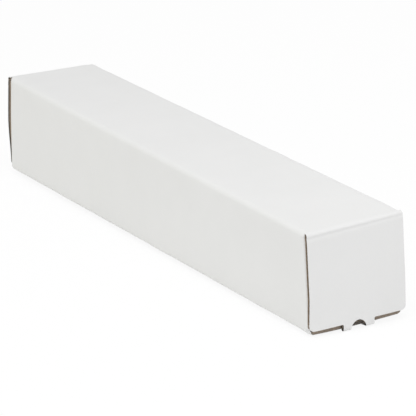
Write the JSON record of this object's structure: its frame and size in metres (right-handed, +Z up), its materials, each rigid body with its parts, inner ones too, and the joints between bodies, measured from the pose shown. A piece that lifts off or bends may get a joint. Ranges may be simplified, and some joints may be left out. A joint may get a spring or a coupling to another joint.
{
  "type": "long shipping box",
  "caption": "Long square-section shipping box folded from white-faced corrugated board, with a hinged closing flap at each end locked by a tab with a finger hole that tucks in under the bottom.",
  "frame": {"origin": "below the middle of the bottom panel, on the level of the two tabs that the box rests on", "axes": "+X along the box towards its front end, +Y towards the back side panel, +Z up; the closing flaps hang from the top panel"},
  "size_m": [0.5214, 0.085, 0.0858],
  "materials": {
    "white_board": "matt white paper liner outside, brown kraft liner inside and at the cut edges"
  },
  "bodies": {
    "tube": {"tube": "white_board"},
    "front_end_flap": {"front_end_flap": "white_board"},
    "rear_end_flap": {"rear_end_flap": "white_board"}
  },
  "joints": [
    {"name": "front_flap_hinge", "type": "hinge", "parent": "tube", "child": "front_end_flap", "pos_m": [0.25999, 0, 0.08509], "axis": [0, -1, 0], "range_deg": [0, 180]},
    {"name": "rear_flap_hinge", "type": "hinge", "parent": "tube", "child": "rear_end_flap", "pos_m": [-0.25999, 0, 0.08509], "axis": [0, 1, 0], "range_deg": [0, 180]}
  ]
}
